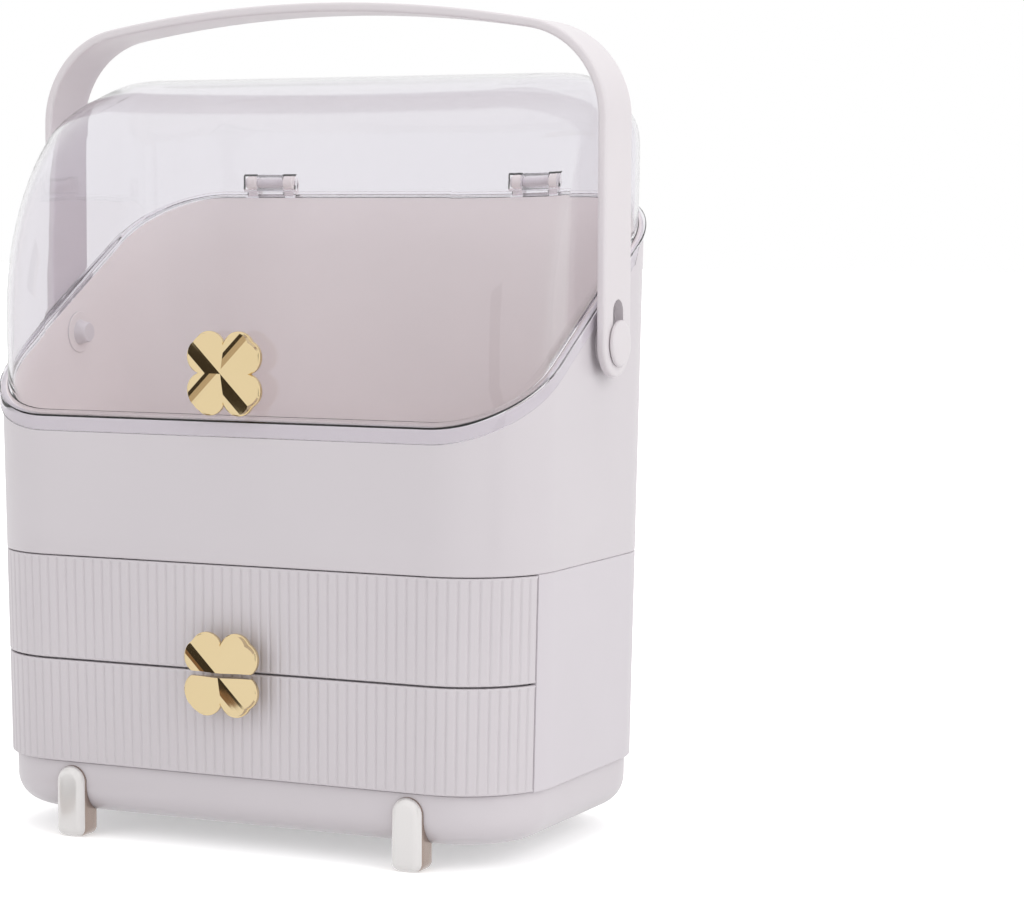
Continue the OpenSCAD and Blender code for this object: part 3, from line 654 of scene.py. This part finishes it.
def skirt(drop_share, front_off, back_less):
    """Ring of the skirt on the front and sides, which stays up as the flange along the back."""
    ring = []
    for i in range(RING_N):
        side = i >= HALF
        off = front_off if side else flange_off(i, LIP_PROUD) - back_less
        ring.append(rim_pt(i, off, -LIP_H * drop_share if side else 0.0))
    return ring


def flange(inset, dz):
    return [rim_pt(i, flange_off(i, LIP_PROUD) - inset, dz) for i in range(RING_N)]


def lid_tool(name, mesh):
    return make_object(name, *mesh, "lid", LID_SMOOTH)


def fit_hinge(lid, s):
    """Adds the knuckle of one hinge to the lid and cuts room for the two ears."""
    axis = along_x(HINGE_Y, HINGE_Z)
    x0 = s * HINGE_X - KNUCKLE_L / 2
    eye = barrel(x0, x0 + KNUCKLE_L, KNUCKLE_R, 0.3)
    boolean(lid, lid_tool("knuckle", lathe(eye, axis, 40)), "UNION")
    for t in (-1, 1):
        x1 = ear_left(s, t)
        n0 = x1 - RUN_GAP - (PIN_ROOM if t < 0 else 0)
        n1 = x1 + EAR_T + RUN_GAP + (PIN_ROOM if t > 0 else 0)
        r = KNUCKLE_R + EAR_ROOM
        notch = lid_tool("notch", lathe([(n0, 0.1), (n0, r), (n1, r), (n1, 0.1)], axis, 40))
        boolean(lid, notch, "DIFFERENCE")
        slab = lid_tool("slab", box_mesh(
            x1 - RUN_GAP, x1 + EAR_T + RUN_GAP, HINGE_Y - EAR_FRONT - EAR_ROOM,
            HINGE_Y + 9, HINGE_Z - EAR_H, HINGE_Z))
        boolean(lid, slab, "DIFFERENCE")


def build_lid():
    rings = [dome_ring(v / LID_ROWS, -LID_INSET - LID_T, LID_TOP - LID_T, LID_T, 0.0)
             for v in range(LID_ROWS, -1, -1)]
    rings += [skirt(*spot) for spot in SKIRT_EDGE]
    rings += [flange(0.0, FLANGE_T - 0.4), flange(0.4, FLANGE_T)]
    rings += [dome_ring(0, -LID_INSET + 0.3, LID_TOP, 0, FLANGE_T),
              dome_ring(0.004, -LID_INSET, LID_TOP, 0, FLANGE_T)]
    rings += [dome_ring(v / LID_ROWS, -LID_INSET, LID_TOP, 0, FLANGE_T)
              for v in range(1, LID_ROWS + 1)]
    lid = make_object("clear_lid", *loft_mesh(rings), "lid", LID_SMOOTH)
    for s in (-1, 1):
        fit_hinge(lid, s)
    shade(lid.data, LID_SMOOTH)
    dress(lid, CLEAR, "lid_clear", "lid")


# ---------------------------------------------------------------- clover knobs

# The gabled bars of a knob: (distance from the ridge, drop) at the end of each strip.
STRIPS = ((1.4, 0.39), (4.3, 1.36), (6.2, 2.1))
FACET_FALL = 0.06
# The face is cut while it lies flat, high above the rim, and is then lowered to its real height.
FLAG_Z = 10.0
CLOVER_N = 240
CLOVER_RIM = ((0.5, 0.0), (0.15, 0.12), (0.0, 0.5), (0.0, CLOVER_EDGE - 0.4),
              (0.12, CLOVER_EDGE - 0.1), (0.45, CLOVER_EDGE), (0.9, FLAG_Z))
FACE_SHARP, CUT_SHARP, RIM_SHARP = 1.5, 20, 50


def leaf_reach(px, py, ca, sa):
    """Distance to the far side of a leaf centred on (px, py), in the direction (ca, sa)."""
    d, e = px * ca + py * sa, px * sa - py * ca
    g = LEAF_R ** 2 - e * e
    return 0.0 if g < 0 else d + sqrt(g)


def clover_reach(c):
    ca, sa = abs(cos(c)), abs(sin(c))
    return max(leaf_reach(LEAF_FAR, LEAF_NEAR, ca, sa), leaf_reach(LEAF_NEAR, LEAF_FAR, ca, sa))


def clover_height(x, y):
    """Height of the cut face: a ridge on each diagonal, its sloping strips, then a facet."""
    across = abs(abs(x) - abs(y)) / sqrt(2)
    last, drop = 0.0, 0.0
    for edge, full in STRIPS:
        if across <= edge:
            return CLOVER_H - drop - (full - drop) * (across - last) / (edge - last)
        last, drop = edge, full
    return CLOVER_H - drop - FACET_FALL * (across - last)


def clover_blank():
    """The knob with a flat raised face, from its seat up."""
    bm = bmesh.new()
    loops = []
    for inset, height in CLOVER_RIM:
        loop = []
        for k in range(CLOVER_N):
            c = 2 * pi * k / CLOVER_N
            r = clover_reach(c) - inset
            loop.append(bm.verts.new((r * cos(c), r * sin(c), height)))
        loops.append(loop)
    bm.faces.new(list(reversed(loops[0])))
    for a, b in zip(loops, loops[1:]):
        for k in range(CLOVER_N):
            j = (k + 1) % CLOVER_N
            bm.faces.new((a[k], a[j], b[j], b[k]))
    bm.faces.new(loops[-1])
    return bm


def build_clover(name, body, place, half=0):
    """Faceted clover. half = 1 keeps the upper half, -1 the lower half."""
    bm = clover_blank()
    # Every face is cut along the ridges, the edges of the strips and the valleys between leaves.
    cuts = [((0, 0), (1, -1)), ((0, 0), (1, 1)), ((0, 0), (1, 0)), ((0, 0), (0, 1))]
    for edge, _ in STRIPS:
        for s in (-edge * sqrt(2), edge * sqrt(2)):
            cuts += [((s, 0), (1, -1)), ((s, 0), (1, 1))]
    for point, normal in cuts:
        bisect(bm, (*point, 0), (*normal, 0))
    split = half * KNOB_SPLIT / 2
    if half:
        bisect(bm, (0, split, 0), (0, -half, 0), clear_outer=True)
        bmesh.ops.holes_fill(bm, edges=[e for e in bm.edges if e.is_boundary], sides=0)
    bmesh.ops.triangulate(bm, faces=[f for f in bm.faces if len(f.verts) > 4])
    bm.normal_update()
    cap = {f for f in bm.faces if all(v.co.z > FLAG_Z - 0.01 for v in f.verts)}
    flat_cut = {f for f in bm.faces if half and abs(f.normal.y) > 0.99
                and all(abs(v.co.y - split) < 1e-4 for v in f.verts)}
    for v in bm.verts:
        x, y, z = v.co
        if z > CLOVER_EDGE:
            z = CLOVER_EDGE + (z - CLOVER_EDGE) / (FLAG_Z - CLOVER_EDGE) * (
                clover_height(x, y) - CLOVER_EDGE)
        v.co = to_frame(*place(x, y, z))
    bmesh.ops.recalc_face_normals(bm, faces=bm.faces[:])
    bm.normal_update()
    for e in bm.edges:
        limit = FACE_SHARP if any(f in cap for f in e.link_faces) else RIM_SHARP
        if any(f in flat_cut for f in e.link_faces):
            limit = CUT_SHARP
        e.smooth = e.calc_face_angle(0) < radians(limit)
    for f in bm.faces:
        f.smooth = True
    mesh = bpy.data.meshes.new(name)
    bm.to_mesh(mesh)
    bm.free()
    return finish_object(name, mesh, body, None)


def stem(name, body, z, y_from, y_to, r=3.0):
    return make_object(name, *lathe([(y_from, 0.2), (y_from, r - 0.2), (y_from + 0.2, r), (y_to, r),
                                     (y_to, 0.2)], along_y(z), 48), body)


def build_knobs():
    z = SEAM_Z + LID_KNOB_H
    face = half_d(z) - LID_INSET + 0.1
    knob = build_clover("lid_clover", "lid", lambda x, y, h: (x, -face - LID_STEM - h, z + y))
    dress(knob, GOLD, "knob_gold", "lid_knob")
    dress(stem("lid_clover_stem", "lid", z, face, face + LID_STEM + 0.3), GOLD, "knob_gold")
    face = half_d(MID_Z) + DRAWER_STEM
    seat = half_d(MID_Z) + TRAY_OFF + 0.2
    for name, side, body, node in (("upper_clover_half", 1, "upper_drawer", "upper_knob_half"),
                                   ("lower_clover_half", -1, "lower_drawer", "lower_knob_half")):
        knob = build_clover(name, body, lambda x, y, h: (x, -face - h, MID_Z + y), side)
        dress(knob, GOLD, "knob_gold", node)
        dress(stem(name + "_stem", body, MID_Z + side * 8.5, seat, face + 0.3), GOLD, "knob_gold")


# ---------------------------------------------------------------- drawers

PER_RIB = 12
GROOVE_DEPTH, GROOVE_SHARE = 0.55, 0.42
# Top and bottom edge of a front: (draw-in, distance from the edge, share of the groove's depth).
FRONT_EDGE = ((0.7, 0.0, 0.0), (0.25, 0.15, 0.0), (0.0, 0.6, 0.3), (0.0, 1.4, 1.0))
FRONT_BEVEL = 0.3


def groove(m):
    """Depth of the ribbed surface at step m: broad lands with narrow soft valleys between them."""
    u = abs((m / PER_RIB + 0.5) % 1.0 - 0.5) / (GROOVE_SHARE / 2)
    return GROOVE_DEPTH * 0.5 * (1 + cos(pi * min(1.0, u)))


def front_line(off, z, ribbed):
    """Line along a front, round both corners, with ribbed as the share of the groove's depth."""
    r, w, d = CORNER_R + off, half_w(z) - CORNER_R, half_d(z) - CORNER_R
    end = acos((FRONT_END - d) / r)
    m, f = PER_RIB * RIBS_ARC, PER_RIB * RIBS_FLAT
    pts = []
    for k in range(m + 1):
        t, g = end * (1 - k / m), ribbed * groove(k)
        pts.append((-w - (r - g) * sin(t), -d - (r - g) * cos(t)))
    for k in range(1, f):
        pts.append((w * (2 * k / f - 1), -d - r + ribbed * groove(k)))
    for k in range(m + 1):
        t, g = end * k / m, ribbed * groove(k)
        pts.append((w + (r - g) * sin(t), -d - (r - g) * cos(t)))
    return pts


def front_section(z0, z1):
    low = [(-inset, z0 + step, ribbed) for inset, step, ribbed in FRONT_EDGE]
    high = [(-inset, z1 - step, ribbed) for inset, step, ribbed in reversed(FRONT_EDGE)]
    back = [(FRONT_BEVEL - FRONT_T, z1, 0.0), (-FRONT_T, z1 - FRONT_BEVEL, 0.0),
            (-FRONT_T, z0 + FRONT_BEVEL, 0.0), (FRONT_BEVEL - FRONT_T, z0, 0.0)]
    return low + [(0.0, (z0 + z1) / 2, 1.0)] + high + back


def tray_ring(inset, z):
    off = TRAY_OFF - inset
    return [(*ring_pt(i, half_w(z) + off - TRAY_EASE, half_d(z) + off, 0, CORNER_R + off), z)
            for i in range(RING_N)]


def tray_mesh(z):
    """Tray that stands at z: up its outside, over its edge, and down to its floor."""
    t, top = TRAY_WALL, z + TRAY_H
    spots = [(inset, z + rise) for inset, rise in TRAY_FOOT]
    spots += [(inset, top - drop) for inset, drop in SOFT_EDGE]
    spots += [(t - inset, top - drop) for inset, drop in reversed(SOFT_EDGE)]
    for k in range(7):
        a = radians(15 * k)
        spots.append((t + TRAY_R * (1 - cos(a)), z + t + TRAY_R * (1 - sin(a))))
    return loft_mesh([tray_ring(*spot) for spot in spots])


def build_drawer(body, z0, z1, tray_z):
    front = make_object(body + "_ribbed_front", *wall_mesh(front_section(z0, z1), front_line), body,
                        BROAD_SMOOTH)
    dress(front, FRONT, "drawer_front_plastic", body + "_front")
    tray = make_object(body + "_moulded_tray", *tray_mesh(tray_z), body)
    dress(tray, CABINET, "cabinet_plastic", body + "_tray")


def build_drawers():
    build_drawer("upper_drawer", MID_Z + FRONT_GAP, SEAM_Z - FRONT_GAP,
                 MID_Z + PLATE_T / 2 + RUN_GAP)
    build_drawer("lower_drawer", BASE_TOP + FRONT_GAP, MID_Z - FRONT_GAP,
                 BASE_TOP + PLATE_T + RUN_GAP)


# ---------------------------------------------------------------- handle

# The strap runs along a crown arc, two corner arcs and two straight legs. Each _S is the length
# along its middle line from the top to where that piece ends.
STRAP_OUT, STRAP_MID = HANDLE_IN + STRAP_T, STRAP_T / 2
CORNER_X = STRAP_OUT - HANDLE_R
CROWN_Z = SEAM_Z + HANDLE_TOP_H - CROWN_R
CORNER_Z = CROWN_Z + sqrt((CROWN_R - HANDLE_R) ** 2 - CORNER_X * CORNER_X)
CORNER_TURN = atan2(CORNER_Z - CROWN_Z, CORNER_X)
CROWN_S = (CROWN_R - STRAP_MID) * (pi / 2 - CORNER_TURN)
CORNER_S = CROWN_S + (HANDLE_R - STRAP_MID) * CORNER_TURN
PIVOT_S = CORNER_S + CORNER_Z - PIVOT_Z
SLOT_R = PIN_R + SLOT_ROOM
STRAP_BEVEL = 1.3
# Profiles of the handle pins past the strap's outer face and past the inner wall.
PIN_DOME = ((0.2, 0.3), (0.2, PIN_HEAD_R - 0.5), (0.6, PIN_HEAD_R), (1.4, PIN_HEAD_R),
            (1.9, PIN_HEAD_R - 0.25), (2.25, PIN_HEAD_R - 0.8), (2.45, PIN_HEAD_R - 1.8),
            (2.55, 5.0), (2.6, 0.3))
PIN_SNAP = ((-5, 0.3), (-5, PIN_R - 0.8), (-4.4, PIN_R - 0.2), (-2.6, PIN_R), (-0.2, PIN_R + 0.9),
            (-0.1, PIN_R))


def strap_point(s, w, h):
    """Point of the strap from its unrolled place: s along it, w across it, h through it."""
    side = 1 if s >= 0 else -1
    a = abs(s)
    if a <= CROWN_S:
        t = pi / 2 - a / (CROWN_R - STRAP_MID)
        q = CROWN_R - STRAP_T + h
        x, z = q * cos(t), CROWN_Z + q * sin(t)
    elif a <= CORNER_S:
        t = CORNER_TURN - (a - CROWN_S) / (HANDLE_R - STRAP_MID)
        q = HANDLE_R - STRAP_T + h
        x, z = CORNER_X + q * cos(t), CORNER_Z + q * sin(t)
    else:
        x, z = HANDLE_IN + h, CORNER_Z - (a - CORNER_S)
    return side * x, PIVOT_Y + w, z


def round_ends(ends, r, n):
    """Closed outline of two half circles, each given by its centre and the side it points to."""
    return [(x + side * r * cos(t), side * r * sin(t)) for x, side in ends
            for t in (pi * i / n - pi / 2 for i in range(n + 1))]


def unrolled_strap():
    """The flat strap with both slots and soft outer edges, cut across wherever it will bend."""
    loops = [round_ends(((PIVOT_S, 1), (-PIVOT_S, -1)), STRAP_W / 2, 28)]
    for side in (1, -1):
        slot_top = side * (PIVOT_S - SLOT_RISE + SLOT_R)
        loops.append(round_ends(((side * PIVOT_S, side), (slot_top, -side)), SLOT_R, 16))
    bm = bmesh.new()
    edges = []
    for loop in loops:
        vs = [bm.verts.new((x, y, 0)) for x, y in loop]
        edges += [bm.edges.new((vs[i], vs[(i + 1) % len(vs)])) for i in range(len(vs))]
    bmesh.ops.triangle_fill(bm, edges=edges, use_beauty=True)
    raised = bmesh.ops.extrude_face_region(bm, geom=bm.faces[:])
    for item in raised["geom"]:
        if isinstance(item, bmesh.types.BMVert):
            item.co.z = STRAP_T
    bmesh.ops.recalc_face_normals(bm, faces=bm.faces[:])
    rims = [e for e in bm.edges if len(e.link_faces) == 2 and e.calc_face_angle(0) > 1.0
            and abs(e.verts[0].co.z - e.verts[1].co.z) < 1e-6]
    outer_rims = [e for e in rims if max(abs(v.co.y) for v in e.verts) > SLOT_R + 0.2
                  or min(abs(v.co.x) for v in e.verts) > PIVOT_S + SLOT_R + 0.2]
    bmesh.ops.bevel(bm, geom=outer_rims, offset=STRAP_BEVEL, segments=5, profile=0.5,
                    affect="EDGES")
    stations = [CROWN_S * t / 30 for t in range(31)]
    stations += [CROWN_S + (CORNER_S - CROWN_S) * t / 24 for t in range(1, 25)]
    for s in sorted({x for t in stations for x in (t, -t)}):
        bisect(bm, (s, 0, 0), (1, 0, 0))
    return bm


def build_handle():
    bm = unrolled_strap()
    for v in bm.verts:
        v.co = to_frame(*strap_point(*v.co))
    mesh = bpy.data.meshes.new("strap")
    bm.to_mesh(mesh)
    bm.free()
    strap = finish_object("strap_handle", mesh, "carry_handle", STRAP_SMOOTH)
    dress(strap, HANDLE, "handle_plastic", "handle")
    inner = half_w(PIVOT_Z) - WALL - 0.6
    dome = [(STRAP_OUT + past, r) for past, r in PIN_DOME]
    shank = [(inner + past, r) for past, r in PIN_SNAP]
    shank += [(STRAP_OUT + 0.4, PIN_R), (STRAP_OUT + 0.4, 0.3)]
    for name, s, node in (("button_left", -1, "handle_pin_left"),
                          ("button_right", 1, "handle_pin_right")):
        place = along_x(PIVOT_Y, PIVOT_Z, s)
        pin = make_object(name, *join([lathe(dome, place), lathe(shank, place, 48)]),
                          "carry_handle")
        dress(pin, HANDLE, "handle_plastic", node)


# ---------------------------------------------------------------- stage

FLOOR_HALF, FLOOR_TINT, FLOOR_GLOW = 20, 0.9, 0.42
# The floor's glow rises to plain white between these distances from the middle.
GLOW_FROM, GLOW_TO = 0.24, 0.5
WORLD_FILL = 0.77
CARD_Z = 0.0008
DARK_CARD = (0.055, 0.046, 0.036)
BROWN_CARD = (0.27, 0.17, 0.11)
TAN_CARD = (0.6, 0.52, 0.44)
# name, place, size, power
LAMP_AIM = (0, 0, 0.2)
LAMPS = (("key_right", (1.9, -0.3, 1.1), (1.6, 1.6), 13.5),
         ("front_soft", (-0.9, -2.0, 1.2), (1.8, 1.4), 7),
         ("top_soft", (0.0, 0.2, 2.2), (1.6, 1.6), 16))
# The photo's camera, fitted to its seams, corners and outline. Its place is in millimetres from
# the middle of the case at the seam.
CAMERA_AZ, CAMERA_EL, CAMERA_ROLL = radians(24.82777), radians(4.27427), 0.00476
CAMERA_X, CAMERA_Y, CAMERA_RISE = 622.526, -1142.125, 140.016
CAMERA_LENS, CAMERA_SENSOR = 102.30, 36


def floor_material():
    """Pale floor: it keeps the soft shadow near the part and turns plain white further out."""
    mat = bpy.data.materials.new("floor_white")
    nodes, links, out = blank_tree(mat, "ShaderNodeOutputMaterial")
    diffuse = nodes.new("ShaderNodeBsdfDiffuse")
    diffuse.inputs[0].default_value = (FLOOR_TINT, FLOOR_TINT, FLOOR_TINT, 1)
    coords = nodes.new("ShaderNodeTexCoord")
    far = nodes.new("ShaderNodeVectorMath")
    far.operation = "LENGTH"
    links.new(coords.outputs["Object"], far.inputs[0])
    rise = span(nodes, links, far.outputs["Value"], FLOOR_GLOW, 1.0)
    rise.inputs["From Min"].default_value = GLOW_FROM
    rise.inputs["From Max"].default_value = GLOW_TO
    path = nodes.new("ShaderNodeLightPath")
    share = combine(nodes, links, "MULTIPLY", path.outputs["Is Camera Ray"], rise.outputs[0])
    glow = nodes.new("ShaderNodeEmission")
    links.new(share, glow.inputs[1])
    add = nodes.new("ShaderNodeAddShader")
    links.new(diffuse.outputs[0], add.inputs[0])
    links.new(glow.outputs[0], add.inputs[1])
    # Metal and the clear lid mirror and pass plain white.
    plain = nodes.new("ShaderNodeEmission")
    mirrored = combine(nodes, links, "MAXIMUM", path.outputs["Is Glossy Ray"],
                       path.outputs["Is Transmission Ray"])
    mix_shaders(nodes, links, mirrored, add.outputs[0], plain.outputs[0], out)
    return mat


def stage_quad(name, corners, mat):
    mesh = bpy.data.meshes.new(name)
    mesh.from_pydata(corners, [], [(0, 1, 2, 3)])
    obj = bpy.data.objects.new(name, mesh)
    obj.data.materials.append(mat)
    bpy.context.scene.collection.objects.link(obj)
    return obj


def card(name, corners, color):
    """A card that only shows in reflections on metal."""
    mat = bpy.data.materials.new(name)
    nodes, links, out = blank_tree(mat, "ShaderNodeOutputMaterial")
    glow = nodes.new("ShaderNodeEmission")
    glow.inputs[0].default_value = (*color, 1)
    links.new(glow.outputs[0], out.inputs[0])
    obj = stage_quad(name, corners, mat)
    obj.visible_camera = False
    obj.visible_diffuse = False
    obj.visible_transmission = False
    obj.visible_shadow = False


def flat_quad(x0, x1, y0, y1, z=0):
    return [(x0, y0, z), (x1, y0, z), (x1, y1, z), (x0, y1, z)]


def side_quad(x, y0, y1, z0, z1):
    return [(x, y0, z0), (x, y1, z0), (x, y1, z1), (x, y0, z1)]


def build_stage():
    far = FLOOR_HALF
    stage_quad("floor", flat_quad(-far, far, -far, far), floor_material())
    # Cards low on the floor that the lower left slopes of the knobs mirror.
    card("card_lid_knob", flat_quad(-0.58, -0.38, -0.52, -0.2, CARD_Z), DARK_CARD)
    card("card_drawer_knob", flat_quad(-0.2, -0.105, -0.24, -0.15, CARD_Z), DARK_CARD)
    card("card_drawer_brown", flat_quad(-0.2, -0.105, -0.15, -0.11, CARD_Z), BROWN_CARD)
    # Upright cards to the left that the upper left slopes of the lid knob mirror.
    card("card_tan", side_quad(-0.5, -0.417, -0.353, 0.3, 0.46), TAN_CARD)
    card("card_dark", side_quad(-0.5, -0.353, -0.24, 0.3, 0.46), DARK_CARD)
    # Card to the right that gives the bevels of the knobs their dark glints.
    card("card_right", side_quad(0.5, -0.4, -0.26, 0.0, 0.34), DARK_CARD)


def build_world():
    """Even fill light on the part; the camera, metal and glass see plain white."""
    world = bpy.data.worlds.new("studio")
    bpy.context.scene.world = world
    nodes, links, out = blank_tree(world, "ShaderNodeOutputWorld")
    fill = nodes.new("ShaderNodeBackground")
    fill.inputs[0].default_value = (1, 1, 1, 1)
    fill.inputs[1].default_value = WORLD_FILL
    white = nodes.new("ShaderNodeBackground")
    white.inputs[0].default_value = (1, 1, 1, 1)
    path = nodes.new("ShaderNodeLightPath")
    shown = path.outputs["Is Camera Ray"]
    for kind in ("Is Glossy Ray", "Is Transmission Ray"):
        shown = combine(nodes, links, "MAXIMUM", shown, path.outputs[kind])
    mix_shaders(nodes, links, shown, fill.outputs[0], white.outputs[0], out)


def build_lights():
    for name, place, size, power in LAMPS:
        light = bpy.data.lights.new(name, "AREA")
        light.shape = "RECTANGLE"
        light.size, light.size_y = size
        light.energy = power
        lamp = bpy.data.objects.new(name, light)
        lamp.location = place
        aim = Vector(LAMP_AIM) - Vector(place)
        lamp.rotation_euler = aim.to_track_quat("-Z", "Y").to_euler()
        lamp.visible_glossy = False
        lamp.visible_transmission = False
        bpy.context.scene.collection.objects.link(lamp)


def build_camera():
    az, el, roll = CAMERA_AZ, CAMERA_EL, CAMERA_ROLL
    back = Vector((sin(az) * cos(el), -cos(az) * cos(el), sin(el)))
    right = Vector((cos(az), sin(az), 0))
    up = back.cross(right)
    right, up = (cos(roll) * right + sin(roll) * up), (-sin(roll) * right + cos(roll) * up)
    data = bpy.data.cameras.new("camera")
    data.sensor_width = CAMERA_SENSOR
    data.lens = CAMERA_LENS
    data.clip_start = 0.05
    data.clip_end = 60
    camera = bpy.data.objects.new("camera", data)
    matrix = Matrix((right, up, back)).transposed().to_4x4()
    matrix.translation = Vector(to_frame(CAMERA_X, CAMERA_Y, CAMERA_RISE + SEAM_Z))
    camera.matrix_world = matrix
    bpy.context.scene.collection.objects.link(camera)
    bpy.context.scene.camera = camera


build_camera()
build_base()
build_feet()
build_cabinet()
build_upper_case()
build_lid()
build_knobs()
build_drawers()
build_handle()

# The screws and hinge pins stay as the CAD has them, and only take a material.
for node_name, node_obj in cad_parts.items():
    if "screw" in node_name or "hinge_pin" in node_name:
        node_obj.data.materials.clear()
        node_obj.data.materials.append(STEEL if "screw" in node_name else HANDLE)

build_stage()
build_world()
build_lights()
bpy.context.scene.view_settings.view_transform = "Standard"
